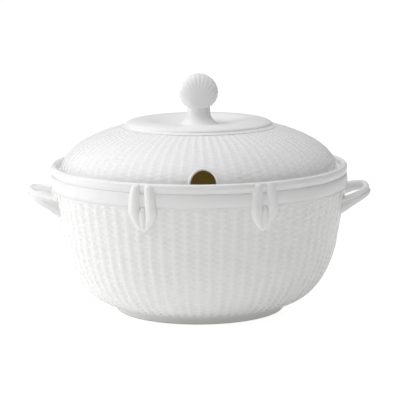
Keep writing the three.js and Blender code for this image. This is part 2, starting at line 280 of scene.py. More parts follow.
def weave_tree():
    """Turns a profile into a ring of basket weave: upright stakes, with rows of weft over and under them.
    The ring is one closed skin, its back a plain copy of the front laid inside it."""
    tree = bpy.data.node_groups.new("basket_weave", "GeometryNodeTree")
    face = tree.interface
    face.new_socket("Profile", in_out="INPUT", socket_type="NodeSocketGeometry")
    for name, kind, value in WEAVE_INPUTS:
        socket = face.new_socket(name, in_out="INPUT", socket_type=kind)
        if value is not None:
            socket.default_value = value
    face.new_socket("Weave", in_out="OUTPUT", socket_type="NodeSocketGeometry")
    n = NodeMaths(tree)
    inputs = n.node("NodeGroupInput").outputs

    # A flat grid: across it runs once round the ring, and up it the front, then the back.
    front = n.math("MULTIPLY", inputs["Rows"], inputs["Samples per row"])
    back = inputs["Back lines"]
    across = n.math("ADD", n.math("MULTIPLY", inputs["Stakes"], inputs["Samples per stake"]), 1.0)
    up = n.math("ADD", n.math("ADD", front, back), 2.0)
    grid = n.node("GeometryNodeMeshGrid")
    n.feed(grid.inputs["Size X"], 1.0)
    n.feed(grid.inputs["Size Y"], 1.0)
    n.feed(grid.inputs["Vertices X"], across)
    n.feed(grid.inputs["Vertices Y"], up)
    place = n.node("ShaderNodeSeparateXYZ")
    n.feed(place.inputs[0], n.node("GeometryNodeInputPosition").outputs[0])
    turn = n.math("ADD", place.outputs["X"], 0.5)
    rise = n.math("ADD", place.outputs["Y"], 0.5)
    line = n.math("ROUND", n.math("MULTIPLY", rise, n.math("SUBTRACT", up, 1.0)))

    # Share of the profile's length at each line. The last line lies on the first and closes the skin.
    behind = n.math("GREATER_THAN", line, n.math("ADD", front, 0.5))
    closing = n.math("GREATER_THAN", line, n.math("ADD", n.math("ADD", front, back), 0.5))
    on_back = n.math("SUBTRACT", behind, closing)
    back_line = n.math("SUBTRACT", n.math("SUBTRACT", line, front), 1.0)
    back_step = n.math("DIVIDE", back_line, n.math("SUBTRACT", back, 1.0))
    share_front = n.math("DIVIDE", line, front)
    share = n.either(on_back, share_front, n.math("SUBTRACT", 1.0, back_step))
    share = n.math("MULTIPLY", share, n.math("SUBTRACT", 1.0, closing))

    curve = n.node("GeometryNodeMeshToCurve")
    n.feed(curve.inputs["Mesh"], inputs["Profile"])
    sample = n.node("GeometryNodeSampleCurve", mode="FACTOR")
    n.feed(sample.inputs["Curves"], curve.outputs[0])
    n.feed(sample.inputs["Factor"], share)
    along = n.node("ShaderNodeSeparateXYZ")
    n.feed(along.inputs[0], sample.outputs["Tangent"])
    outward = n.node("ShaderNodeCombineXYZ")
    n.feed(outward.inputs["X"], along.outputs["Z"])
    n.feed(outward.inputs["Z"], n.math("MULTIPLY", along.outputs["X"], -1.0))
    on_profile = n.node("ShaderNodeSeparateXYZ")
    n.feed(on_profile.inputs[0], sample.outputs["Position"])

    # Stakes: rounded ribs, one at each whole number.
    stake_at = n.math("ADD", n.math("MULTIPLY", turn, inputs["Stakes"]), inputs["First stake"])
    off_stake = n.math("ABSOLUTE", n.math("SUBTRACT", stake_at, n.math("ROUND", stake_at)))
    side = n.math("DIVIDE", off_stake, inputs["Stake width"])
    dome = n.math("SQRT", n.math("MAXIMUM", n.math("SUBTRACT", 1.0, n.square(side)), 0.0))
    stake = n.math("MULTIPLY", dome, inputs["Stake relief"])

    # Weft: each row rises over every second stake and dives behind its neighbours.
    row_at = n.math("MULTIPLY", share, inputs["Rows"])
    last_row = n.math("SUBTRACT", inputs["Rows"], 1.0)
    row = n.math("MINIMUM", n.math("FLOOR", n.math("ADD", row_at, 0.001)), last_row)
    in_row = n.math("SUBTRACT", n.math("MULTIPLY", n.math("SUBTRACT", row_at, row), 2.0), 1.0)
    round_row = n.math("SQRT", n.math("MAXIMUM", n.math("SUBTRACT", 1.0, n.square(in_row)), 0.0))
    wave = n.math("COSINE", n.math("MULTIPLY", n.math("ADD", stake_at, row), math.pi))
    weft = n.math("MULTIPLY", round_row, n.math("MAXIMUM", wave, 0.0))
    height = n.math("MAXIMUM", stake, weft)

    # The weave sinks into plain china at both ends of the profile, and round the ladle notch.
    start = n.smooth_step(share, 0.0, inputs["Plain start"])
    end = n.smooth_step(n.math("SUBTRACT", 1.0, share), 0.0, inputs["Plain end"])
    angle = n.math("MULTIPLY", turn, 2 * math.pi)
    sideways = n.math("MULTIPLY", on_profile.outputs["X"], n.math("COSINE", angle))
    upwards = n.math("SUBTRACT", on_profile.outputs["Z"], inputs["Plain centre"])
    from_notch = n.math("SQRT", n.math("ADD", n.square(sideways), n.square(upwards)))
    at_back = n.math("GREATER_THAN", n.math("SINE", angle), 0.0)
    from_notch = n.math("ADD", from_notch, at_back)
    clear = n.smooth_step(from_notch, inputs["Plain radius"], n.math("ADD", inputs["Plain radius"], 0.0015))
    height = n.math("MULTIPLY", height, n.math("MULTIPLY", n.math("MULTIPLY", start, end), clear))

    proud = n.math("MULTIPLY", height, inputs["Relief"])
    lift = n.either(on_back, proud, n.math("MULTIPLY", inputs["Skin"], -1.0))
    moved = n.node("ShaderNodeVectorMath", operation="MULTIPLY_ADD")
    n.feed(moved.inputs[0], outward.outputs[0])
    spread = n.node("ShaderNodeCombineXYZ")
    for axis in "XYZ":
        n.feed(spread.inputs[axis], lift)
    n.feed(moved.inputs[1], spread.outputs[0])
    n.feed(moved.inputs[2], sample.outputs["Position"])
    rotate = n.node("ShaderNodeVectorRotate", rotation_type="Z_AXIS")
    n.feed(rotate.inputs["Vector"], moved.outputs[0])
    n.feed(rotate.inputs["Angle"], angle)

    shape = n.node("GeometryNodeSetPosition")
    # The stored relief sets the glaze's painted shade: low relief, in the grooves and on the plain borders,
    # is coloured darker.
    keep = n.node("GeometryNodeStoreNamedAttribute", data_type="FLOAT", domain="POINT")
    n.feed(keep.inputs["Geometry"], grid.outputs["Mesh"])
    n.feed(keep.inputs["Name"], "relief")
    n.feed(keep.inputs["Value"], height)
    n.feed(shape.inputs["Geometry"], keep.outputs[0])
    n.feed(shape.inputs["Position"], rotate.outputs[0])
    merge = n.node("GeometryNodeMergeByDistance")
    n.feed(merge.inputs["Geometry"], shape.outputs[0])
    n.feed(merge.inputs["Distance"], 0.00001)
    smooth = n.node("GeometryNodeSetShadeSmooth")
    n.feed(smooth.inputs["Geometry"], merge.outputs[0])
    real = n.node("GeometryNodeRealizeInstances")
    n.feed(real.inputs[0], smooth.outputs[0])
    paint = n.node("GeometryNodeSetMaterial")
    n.feed(paint.inputs["Geometry"], real.outputs[0])
    n.feed(paint.inputs["Material"], inputs["Material"])
    output = n.node("NodeGroupOutput")
    n.feed(output.inputs[0], paint.outputs[0])
    return tree


def baked(obj):
    """Turns an object's modifiers into its own plain mesh."""
    bpy.context.view_layer.update()
    graph = bpy.context.evaluated_depsgraph_get()
    mesh = bpy.data.meshes.new_from_object(obj.evaluated_get(graph))
    obj.modifiers.clear()
    obj.data = mesh
    return obj


def woven_ring(name, tree, profile, **values):
    """A woven skin along a profile that runs up the outside of the piece."""
    mesh = bpy.data.meshes.new(name)
    points = [(r * MM, 0.0, z * MM) for r, z in profile]
    mesh.from_pydata(points, [(i, i + 1) for i in range(len(points) - 1)], [])
    ring = new_object(name, mesh)
    modifier = ring.modifiers.new("weave", "NODES")
    modifier.node_group = tree
    sockets = {item.name: item.identifier for item in tree.interface.items_tree if item.in_out == "INPUT"}
    for label, value in values.items():
        modifier[sockets[label.replace("_", " ")]] = value
    baked(ring)
    soften_mesh(ring.data, sharp_angle=180.0)
    return ring


# ---------------------------------------------------------------- glazes

def glaze_group():
    """Glaze on moulded china: where the relief is low it is darkened with painted shade and made a little
    glossier, faintly clouded, with a few iron specks.
    """
    tree = bpy.data.node_groups.new("china_glaze", "ShaderNodeTree")
    face = tree.interface
    for name, kind, value in (
        ("Body colour", "NodeSocketColor", (0.9, 0.9, 0.897, 1.0)),
        ("Painted shade colour", "NodeSocketColor", (0.87, 0.87, 0.862, 1.0)),
        ("Relief", "NodeSocketFloat", 1.0),
        ("Gloss", "NodeSocketFloat", 0.30),
        ("Clouding", "NodeSocketFloat", 0.02),
        ("Specks", "NodeSocketFloat", 0.5),
    ):
        face.new_socket(name, in_out="INPUT", socket_type=kind).default_value = value
    face.new_socket("Colour", in_out="OUTPUT", socket_type="NodeSocketColor")
    for name in ("Roughness", "Height"):
        face.new_socket(name, in_out="OUTPUT", socket_type="NodeSocketFloat")
    n = NodeMaths(tree)
    inputs = n.node("NodeGroupInput").outputs
    place = n.node("ShaderNodeTexCoord").outputs["Object"]

    def noise(scale, detail):
        node = n.node("ShaderNodeTexNoise")
        n.feed(node.inputs["Vector"], place)
        n.feed(node.inputs["Scale"], scale)
        n.feed(node.inputs["Detail"], detail)
        return node.outputs["Fac"]

    def blend(fac, first, second):
        node = n.node("ShaderNodeMix", data_type="RGBA")
        n.feed(node.inputs["Factor"], fac)
        n.feed(node.inputs["A"], first)
        n.feed(node.inputs["B"], second)
        return node.outputs["Result"]

    # Painted shade: where the relief is low, in the weave's grooves and between the knob's ribs, the colour
    # is darkened towards the painted shade colour.
    groove_shade_and_gloss = n.math("SUBTRACT", 1.0, n.smooth_step(inputs["Relief"], 0.0, 0.7))
    colour = blend(groove_shade_and_gloss, inputs["Body colour"], inputs["Painted shade colour"])
    cloud = n.math("MULTIPLY", n.smooth_step(noise(22.0, 3.0), 0.35, 0.65), inputs["Clouding"])
    colour = blend(cloud, colour, (0.80, 0.81, 0.78, 1.0))
    cell = n.node("ShaderNodeTexVoronoi")
    n.feed(cell.inputs["Vector"], place)
    n.feed(cell.inputs["Scale"], 55.0)
    near = n.math("SUBTRACT", 1.0, n.smooth_step(cell.outputs["Distance"], 0.008, 0.016))
    rare = n.math("GREATER_THAN", noise(17.0, 0.0), 0.66)
    speck = n.math("MULTIPLY", n.math("MULTIPLY", near, rare), inputs["Specks"])
    colour = blend(speck, colour, (0.42, 0.37, 0.30, 1.0))
    ripple = n.math("SUBTRACT", noise(60.0, 2.0), 0.5)
    rough = n.math("ADD", inputs["Gloss"], n.math("MULTIPLY", ripple, 0.10))
    rough = n.math("ADD", rough, n.math("MULTIPLY", groove_shade_and_gloss, -0.03))
    output = n.node("NodeGroupOutput")
    n.feed(output.inputs["Colour"], colour)
    n.feed(output.inputs["Roughness"], rough)
    orange_peel = n.math("MULTIPLY", noise(420.0, 1.0), 0.15)
    n.feed(output.inputs["Height"], n.math("ADD", noise(95.0, 1.0), orange_peel))
    return tree


def china(name, group, relief=False, biscuit_below=None, **values):
    """A glazed china material. relief darkens the low parts of the mesh's relief with painted shade;
    biscuit_below leaves the clay bare and dry under a height in metres."""
    material = bpy.data.materials.new(name)
    material.use_nodes = True
    tree = material.node_tree
    n = NodeMaths(tree)
    shader = tree.nodes["Principled BSDF"]
    glaze = n.node("ShaderNodeGroup", node_tree=group)
    for label, value in values.items():
        n.feed(glaze.inputs[label.replace("_", " ")], value)
    if relief:
        n.feed(glaze.inputs["Relief"], n.node("ShaderNodeAttribute", attribute_name="relief").outputs["Fac"])
    colour = glaze.outputs["Colour"]
    rough = glaze.outputs["Roughness"]
    if biscuit_below is not None:
        place = n.node("ShaderNodeSeparateXYZ")
        n.feed(place.inputs[0], n.node("ShaderNodeTexCoord").outputs["Object"])
        grain = n.node("ShaderNodeTexNoise")
        n.feed(grain.inputs["Vector"], n.node("ShaderNodeTexCoord").outputs["Object"])
        n.feed(grain.inputs["Scale"], 900.0)
        edge = n.math("ADD", place.outputs["Z"], n.math("MULTIPLY", grain.outputs["Fac"], 0.0003))
        bare = n.math("LESS_THAN", edge, biscuit_below)
        mix = n.node("ShaderNodeMix", data_type="RGBA")
        n.feed(mix.inputs["Factor"], bare)
        n.feed(mix.inputs["A"], colour)
        n.feed(mix.inputs["B"], (0.80, 0.77, 0.72, 1.0))
        colour = mix.outputs["Result"]
        rough = n.either(bare, rough, 0.8)
    n.feed(shader.inputs["Base Color"], colour)
    n.feed(shader.inputs["Roughness"], rough)
    bump = n.node("ShaderNodeBump")
    bump.inputs["Strength"].default_value = 0.06
    bump.inputs["Distance"].default_value = 0.0006
    n.feed(bump.inputs["Height"], glaze.outputs["Height"])
    n.feed(shader.inputs["Normal"], bump.outputs["Normal"])
    shader.inputs["IOR"].default_value = 1.5
    shader.inputs["Coat Weight"].default_value = 0.15
    shader.inputs["Coat Roughness"].default_value = 0.2
    return material


GLAZE = glaze_group()
# The woven and knob glazes read the mesh's relief and darken its low parts with painted shade.
WOVEN_GLAZE = china("woven_glaze", GLAZE, relief=True, Clouding=0.05, Specks=0.3)
PLAIN_GLAZE = china("plain_glaze", GLAZE, Clouding=0.05, Specks=0.4)
KNOB_GLAZE = china("knob_glaze", GLAZE, relief=True, Clouding=0.05, Specks=0.3)
FOOT_GLAZE = china("foot_glaze", GLAZE, biscuit_below=0.0012, Clouding=0.06, Specks=0.5)


# ---------------------------------------------------------------- putting pieces on the frame

def fit(piece, material, body, slot, *nodes):
    """Gives a piece its glaze and its place on the frame, standing for the CAD nodes named."""
    piece.data.materials.clear()
    piece.data.materials.append(material)
    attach(piece, body)
    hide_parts(*nodes)
    return piece


def cut(piece, cutter):
    """Takes the cutter's volume out of a piece."""
    modifier = piece.modifiers.new("cut", "BOOLEAN")
    modifier.operation = "DIFFERENCE"
    modifier.solver = "MANIFOLD"
    modifier.object = cutter
    return baked(piece)


# ---------------------------------------------------------------- the bowl

def bowl_body():
    lip = 2.4
    rim = [
        (bowl_radius(BAND_BOTTOM, BEDDING), BAND_BOTTOM - 0.6, 0),
        (BAND_CREST - 1.3, BAND_BOTTOM - 0.5, 0.4),
        (BAND_CREST - 0.5, BAND_BOTTOM + 0.6, 0.6),
    ]
    lower = arc(BAND_CREST - 1.6, (BAND_BOTTOM + BAND_SPLIT) / 2 + 0.6, 1.6, 5.9, -70, 76, 12)
    upper = [
        (BAND_CREST - 1.9, BAND_SPLIT + 0.1, 0),
        (BAND_CREST - 1.1, BAND_SPLIT + 1.5, 1.0),
        (BAND_CREST - 0.2, RIM_HEIGHT - lip - 2.0, 1.5),
        (RIM_RADIUS + 0.5, RIM_HEIGHT - lip, 0),
    ]
    lip_top = arc(RIM_RADIUS - WALL / 2 + 0.25, RIM_HEIGHT - lip, WALL / 2 + 0.25, lip, 0, 180, 16)
    inner = RIM_RADIUS - WALL
    ledge = [
        (inner, RIM_HEIGHT - lip, 0),
        (inner, LEDGE_HEIGHT, 0.9),
        (LEDGE_RADIUS, LEDGE_HEIGHT, 0.8),
        (LEDGE_RADIUS, LEDGE_HEIGHT - 3.0, 1.5),
        (bowl_radius(LEDGE_ROOT, WALL), LEDGE_ROOT, 5.0),
        (bowl_radius(LEDGE_ROOT - 8.0, WALL), LEDGE_ROOT - 8.0, 0),
    ]
    inside = bowl_side(LEDGE_ROOT - 8.0, WALL, 40)[::-1]
    outside = bowl_side(BAND_BOTTOM - 0.6, BEDDING, 40)
    floor = outside[0][1]
    profile = [(0, floor)] + outside + softened(rim)[1:] + lower + softened(upper) + lip_top[1:]
    profile += softened(ledge)[1:-1] + inside + [(0, inside[-1][1])]
    return turned("bowl_body", profile)


def bowl_weave(tree):
    profile = [(r - BOWL_RELIEF, z) for r, z in bowl_side(BAND_BOTTOM + 0.2, 0.0, 120)]
    return woven_ring(
        "bowl_weave", tree, profile,
        Stakes=BOWL_STAKES, Rows=BOWL_ROWS, Samples_per_stake=8, Samples_per_row=3,
        Relief=BOWL_RELIEF * MM, Skin=SKIN * MM, First_stake=0.0, Plain_start=0.07, Plain_end=0.012,
        Material=WOVEN_GLAZE)


def foot_ring():
    inner = FOOT_HIGH.x - 11.5
    bottom = FOOT_HIGH.x - 5.2
    height = FOOT_HIGH.z + 0.3
    corners = [
        (inner + 1.6, 0.0, 0),
        (bottom - 0.8, 0.0, 1.4),
        (bottom + 0.3, 1.6, 1.6),
        (FOOT_HIGH.x - 2.9, height - 3.0, 3.0),
        (FOOT_HIGH.x, height, 0.3),
        (FOOT_HIGH.x, height + 0.8, 0.2),
        (inner - 2.5, height + 1.6, 0.4),
        (inner - 1.2, height - 1.0, 1.5),
        (inner, 1.4, 1.2),
        (inner + 1.6, 0.0, 0),
    ]
    return turned("foot", softened(corners, 6))


# ---------------------------------------------------------------- handles

HANDLE_ROOT_HEIGHT = 93.4
HANDLE_ROOT_RADIUS = 117.0
HANDLE_REACH = 27.1
HANDLE_HALF_WIDTH = 32.5
HANDLE_SLOPE = math.radians(18.6)
HANDLE_SQUARENESS = 2.6
REED_RADIUS = 2.5
REED_OFFSET = 1.9
HANDLE_RUN = 7.0  # the strap is drawn this far into the wall, then cut back to it
HANDLE_ROOT_DEPTH = WALL / 2  # how deep in the wall it is cut off
FLARE_UP = 0.1  # extra strap height where it meets the wall, above its centre line
FLARE_DOWN = 0.95  # and below it


def handle_point(t):
    """Centre line of a handle, in its own plane: half a superellipse, run on into the wall at its ends."""
    angle = (t - 0.5) * math.pi
    power = 2 / HANDLE_SQUARENESS
    x = (HANDLE_REACH + HANDLE_RUN) * max(math.cos(angle), 0.0) ** power - HANDLE_RUN
    y = math.copysign(HANDLE_HALF_WIDTH * abs(math.sin(angle)) ** power, angle)
    return Vector((x, y, 0.0))


def strap_section(steps=28):
    """Outline of the strap as (height, depth): two reeds, one above the other, with a groove between."""
    points = []
    for i in range(steps):
        angle = 2 * math.pi * i / steps
        height = (REED_OFFSET + REED_RADIUS) * math.cos(angle)
        reed = abs(height) - REED_OFFSET
        half = math.sqrt(max(REED_RADIUS ** 2 - reed * reed, 0.0))
        points.append((height, math.copysign(half, math.sin(angle)) if abs(math.sin(angle)) > 1e-6 else 0.0))
    return points


def cut_to_wall(point):
    """The strap ends halfway through the bowl's wall, so it never shows inside."""
    stop = outline_radius(point.z) - HANDLE_ROOT_DEPTH
    if math.hypot(point.x, point.y) < stop:
        point.x = math.sqrt(stop ** 2 - point.y ** 2)
    return point


def handle(name, turn):
    steps = 96
    section = strap_section()
    verts = []
    for i in range(steps + 1):
        here = handle_point(i / steps)
        ahead = handle_point(min((i + 0.5) / steps, 1.0))
        behind = handle_point(max((i - 0.5) / steps, 0.0))
        along = (ahead - behind).normalized()
        out = Vector((along.y, -along.x, 0.0))
        towards_wall = min(max(1 - here.x / HANDLE_REACH, 0.0), 1.0)
        for height, depth in section:
            flare = FLARE_UP if height > 0 else FLARE_DOWN
            tall = 1 + flare * towards_wall ** 2
            verts.append(here + out * depth + Vector((0, 0, height * tall)))
    count = len(section)
    faces = [list(range(count)), list(range(steps * count, (steps + 1) * count))]
    for i in range(steps):
        for k in range(count):
            a = i * count + k
            b = i * count + (k + 1) % count
            faces.append([a, b, b + count, a + count])
    tilt = Matrix.Rotation(-HANDLE_SLOPE, 3, "Y")
    swing = Matrix.Rotation(turn, 3, "Z")
    root = Vector((HANDLE_ROOT_RADIUS, 0, HANDLE_ROOT_HEIGHT))
    placed = [swing @ cut_to_wall(tilt @ v + root) for v in verts]
    return new_object(name, closed_mesh(name, placed, faces, sharp_angle=60.0))


# ---------------------------------------------------------------- rim loops

LOOP_ANGLE = math.radians(22.7)
LOOP_TOP = RIM_HEIGHT - 0.6
LOOP_TIP = LOOP_LOW.z
# Centre line of one strap: share of the way down, distance to the side, half width, how far it stands proud.
LOOP_STRAP = (
    (0.00, 5.0, 2.6, 1.0),
    (0.06, 5.4, 3.5, 3.0),
    (0.20, 6.2, 4.5, 3.8),
    (0.40, 6.9, 4.9, 4.0),
    (0.60, 7.1, 4.9, 4.0),
    (0.74, 5.7, 4.3, 3.7),
    (0.86, 3.5, 3.4, 3.3),
    (0.95, 1.3, 2.2, 2.6),
    (1.00, 0.4, 0.6, 1.0),
)
LOOP_LEAF = (
    (0.47, 0.0, 0.5, 0.8),
    (0.52, 0.0, 2.0, 2.6),
    (0.62, 0.0, 3.2, 3.4),
    (0.76, 0.0, 3.4, 3.5),
    (0.88, 0.0, 2.8, 3.4),
    (0.96, 0.0, 1.8, 2.6),
    (1.00, 0.0, 0.4, 0.8),
)


def smooth_through(rows, steps):
    """A smooth run of values through a few rows, by Catmull-Rom."""
    result = []
    spans = len(rows) - 1
    for i in range(steps + 1):
        at = i / steps * spans
        k = min(int(at), spans - 1)
        t = at - k
        before = rows[max(k - 1, 0)]
        after = rows[min(k + 2, spans)]
        a, b = rows[k], rows[k + 1]
        result.append([
            0.5 * (2 * q + (r - p) * t
                   + (2 * p - 5 * q + 4 * r - s) * t * t
                   + (3 * q - p - 3 * r + s) * t ** 3)
            for p, q, r, s in zip(before, a, b, after)
        ])
    return result


def outline_radius(z):
    """Radius of the tureen's plain outline, without weave or bands."""
    return bowl_radius(min(z, BAND_BOTTOM)) if z < BAND_BOTTOM else RIM_RADIUS


def loop_strap(rows, side, turn, steps=44, section_steps=20):
    """One strap of a rim loop laid on the wall: a rounded ribbon sunk a little into it."""
    verts = []
    for share, spread, half_width, proud in smooth_through(rows, steps):
        z = LOOP_TOP - (LOOP_TOP - LOOP_TIP) * share
        for k in range(section_steps):
            angle = 2 * math.pi * k / section_steps
            across = side * spread + half_width * math.cos(angle)
            lift = math.sin(angle)
            out = proud * lift ** 0.8 if lift > 0 else 1.6 * lift
            radius = outline_radius(z) - 0.6 + out
            around = turn - math.pi / 2 + across / outline_radius(z)
            verts.append((radius * math.cos(around), radius * math.sin(around), z))
    faces = [list(range(section_steps)), list(range(steps * section_steps, (steps + 1) * section_steps))]
    for i in range(steps):
        for k in range(section_steps):
            a = i * section_steps + k
            b = i * section_steps + (k + 1) % section_steps
            faces.append([a, b, b + section_steps, a + section_steps])
    return verts, faces


def rim_loop(name, turn):
    verts = []
    faces = []
    for rows, side in ((LOOP_STRAP, 1), (LOOP_STRAP, -1), (LOOP_LEAF, 1)):
        more_verts, more_faces = loop_strap(rows, side, turn)
        base = len(verts)
        verts += more_verts
        faces += [[base + v for v in face] for face in more_faces]
    return new_object(name, closed_mesh(name, verts, faces, sharp_angle=70.0))


# ---------------------------------------------------------------- the lid

def dome_height(r, inset=0.0):
    return LID_SPRING + (LID_CROWN - inset) * math.sqrt(max(1 - (r / (LID_RADIUS - inset)) ** 2, 0.0))


def dome_arc(inset, inner_radius, steps):
    """Points of the dome's outline from its edge up to a radius."""
    reach = LID_RADIUS - inset
    end = math.degrees(math.acos(inner_radius / reach))
    return arc(0, LID_SPRING, reach, LID_CROWN - inset, 0, end, steps)


def lid_body():
    opening = CAP_PLUG - 0.3
    bottom = DOME_LOW.z
    edge = [
        (LID_RADIUS - WALL, LID_SPRING, 0),
        (LID_RADIUS - WALL, bottom, 0.6),
        (LID_RADIUS - 0.2, bottom, 0.7),
        (LID_RADIUS, bottom + 1.6, 0.6),
        (LID_RADIUS - BEDDING, LID_SPRING + 2.2, 0),
    ]
    outer = [p for p in dome_arc(BEDDING, opening, 60) if p[1] > LID_SPRING + 2.2]
    inner = dome_arc(WALL, opening, 60)[::-1]
    profile = softened(edge) + outer + inner
    return turned("lid_body", profile)


def lid_weave(tree):
    profile = dome_arc(LID_RELIEF, CAP_RADIUS - 1.5, 120)
    profile = [(r, z) for r, z in profile if z > LID_SPRING + 1.2]
    return woven_ring(
        "lid_weave", tree, profile, Stakes=LID_STAKES, Rows=LID_ROWS, Samples_per_stake=8, Samples_per_row=4,
        Relief=LID_RELIEF * MM, Skin=SKIN * MM, First_stake=0.5, Plain_start=0.09, Plain_end=0.05,
        Plain_centre=NOTCH_CENTRE * MM, Plain_radius=(NOTCH_RADIUS + 0.6) * MM, Material=WOVEN_GLAZE)


def lid_flange():
    outer = FLANGE_HIGH.x
    inner = outer - 3.8
    bottom = FLANGE_LOW.z
    top = FLANGE_HIGH.z
    corners = [
        (inner + 1.9, bottom, 0),
        (outer, bottom, 1.7),
        (outer, top - 1.0, 0.3),
        (inner, top, 0.3),
        (inner, bottom, 1.7),
        (inner + 1.9, bottom, 0),
    ]
    return turned("lid_flange_ring", softened(corners, 6))


def lid_cap():
    plug = CAP_PLUG
    underside = CAP_LOW.z
    bottom = dome_height(CAP_RADIUS)
    roll_end = dome_height(CAP_ROLL) + 1.1
    below = [
        (0, underside, 0),
        (plug, underside, 0.8),
        (plug, dome_height(plug) - 0.4, 0),
        (CAP_RADIUS - 1.0, dome_height(CAP_RADIUS - 1.0) - 0.3, 0),
        (CAP_RADIUS, bottom, 0),
    ]
    foot = (CAP_ROLL + 0.5, dome_height(CAP_ROLL + 0.5) + 0.25)
    fillet = bend((CAP_RADIUS, bottom + 0.1), foot, (CAP_ROLL, roll_end), 10)
    roll = arc(CAP_CREST, roll_end, CAP_ROLL - CAP_CREST, CAP_TOP - roll_end, 0, 90, 24)
    width = CAP_CREST - CAP_DISH
    shares = [1 - i / 16 for i in range(1, 17)]
    dish = [(CAP_DISH + width * t, DISH_TOP + (CAP_TOP - DISH_TOP) * (0.5 - 0.5 * math.cos(math.pi * t)))
            for t in shares]
    return turned("cap", softened(below) + fillet + roll[1:] + dish + [(0, DISH_TOP)])


def notch_cutter():
    """A prism with a round top that runs through the lid's front edge."""
    steps = 48
    outline = [(-NOTCH_RADIUS, 100.0)]
    for i in range(steps + 1):
        angle = math.pi * (1 - i / steps)
        outline.append((NOTCH_RADIUS * math.cos(angle), NOTCH_CENTRE + NOTCH_RADIUS * math.sin(angle)))
    outline.append((NOTCH_RADIUS, 100.0))
    count = len(outline)
    verts = [(x, y, z) for y in (-LID_RADIUS - 16, -LID_RADIUS + 24) for x, z in outline]
    faces = [list(range(count)), list(range(count, 2 * count))]
    faces += [[k, (k + 1) % count, (k + 1) % count + count, k + count] for k in range(count)]
    return new_object("notch_cutter", closed_mesh("notch_cutter", verts, faces))


def dome_front(x, z):
    """The dome's surface at the front: its y at a place across and up."""
    reach = LID_RADIUS * math.sqrt(max(1 - ((z - LID_SPRING) / LID_CROWN) ** 2, 0.0))
    return -math.sqrt(reach * reach - x * x)


def notch_edge():
    """A rounded bead along the edge of the ladle notch."""
    bead = 1.1
    steps = 64
    sides = 12
    path = []
    foot = DOME_LOW.z + 1.0
    for i in range(steps + 1):
        angle = math.pi * (1 - i / steps)
        x = NOTCH_RADIUS * math.cos(angle)
        z = NOTCH_CENTRE + NOTCH_RADIUS * math.sin(angle)
        path.append(Vector((x, dome_front(x, z) + 0.5, z)))
    start = Vector((-NOTCH_RADIUS, dome_front(NOTCH_RADIUS, foot) + 0.5, foot))
    end = Vector((NOTCH_RADIUS, dome_front(NOTCH_RADIUS, foot) + 0.5, foot))
    path = [start] + path + [end]
    verts = []
    for i, here in enumerate(path):
        along = (path[min(i + 1, len(path) - 1)] - path[max(i - 1, 0)]).normalized()
        side = along.cross(Vector((0, 1, 0))).normalized()
        up = side.cross(along)
        for k in range(sides):
            angle = 2 * math.pi * k / sides
            verts.append(here + side * (bead * math.cos(angle)) + up * (bead * math.sin(angle)))
    count = len(path)
    faces = [list(range(sides)), list(range((count - 1) * sides, count * sides))]
    for i in range(count - 1):
        for k in range(sides):
            a = i * sides + k
            b = i * sides + (k + 1) % sides
            faces.append([a, b, b + sides, a + sides])
    return new_object("notch_edge", closed_mesh("notch_edge", verts, faces, sharp_angle=70.0))


# ---------------------------------------------------------------- the knob

SHELL_RADIUS = SHELL_HIGH.x
SHELL_CENTRE = SHELL_HIGH.z - SHELL_RADIUS
SHELL_DEPTH = SHELL_HIGH.y
SHELL_HINGE_DROP = 0.72
SHELL_RIBS = 24
RIB_DEPTH = 0.34
SHELL_SQUASH = 0.88  # the lower half is this much flatter than the upper half


def knob_stem():
    """The neck under the knob, which spreads into the cap's dish."""
    neck = 9.9
    spread = COLLAR_HIGH.x + 1.6
    flare = bend((spread, DISH_TOP + 0.1), (neck + 1.6, DISH_TOP + 2.8), (neck, DISH_TOP + 8.0), 16)
    top = COLLAR_HIGH.z + 3.0
    below = [(0, DISH_TOP - 0.8), (spread, DISH_TOP - 0.8)]
    corners = [
        (neck, DISH_TOP + 8.0, 0),
        (neck, COLLAR_HIGH.z, 2.0),
        (neck - 0.4, top, 0.5),
        (0, top, 0),
    ]
    above = softened(corners, 6)
    return turned("knob_stem", below + flare + above[1:], steps=96)


def shell_knob():
    """A round fan: a ball whose front and back poles are drawn down to the hinge, ribbed out to its edge."""
    around_steps = SHELL_RIBS * 12
    rings = 72
    verts = []
    relief = []
    for j in range(rings + 1):
        polar = math.pi * j / rings
        reach = math.sin(polar)
        for i in range(around_steps):
            around = 2 * math.pi * i / around_steps
            ridge = abs(math.cos(around * SHELL_RIBS / 2))
            ridge = 0.5 * math.sqrt(1 - (1 - ridge) ** 2) + 0.5 * ridge * ridge
            start = 0.34 + 0.2 * (1 - math.cos(around)) / 2
            grown = min(max((reach - start) / 0.4, 0.0), 1.0)
            grown = grown * grown * (3 - 2 * grown)
            dip = RIB_DEPTH * grown * (1 - ridge)
            size = SHELL_RADIUS - dip * 0.9
            x = size * reach * math.sin(around)
            z = size * reach * math.cos(around)
            if z < 0:
                z *= SHELL_SQUASH
            z -= SHELL_HINGE_DROP * SHELL_RADIUS * (1 - reach) * SHELL_SQUASH
            y = (SHELL_DEPTH - dip) * math.cos(polar)
            verts.append((x, y, SHELL_CENTRE + z))
            # Low relief, in the valleys between the ribs, is coloured darker by the knob glaze as painted
            # shade.
            relief.append(1 - grown * (1 - ridge))
    faces = []
    for j in range(rings):
        for i in range(around_steps):
            a = j * around_steps + i
            b = j * around_steps + (i + 1) % around_steps
            faces.append([a, b, b + around_steps, a + around_steps])
    mesh = bpy.data.meshes.new("shell_knob")
    mesh.from_pydata([Vector(v) * MM for v in verts], [], faces)
    attribute = mesh.attributes.new("relief", "FLOAT", "POINT")
    attribute.data.foreach_set("value", relief)
    soften_mesh(mesh, sharp_angle=180.0)
    return new_object("shell_knob", mesh)


# ---------------------------------------------------------------- build

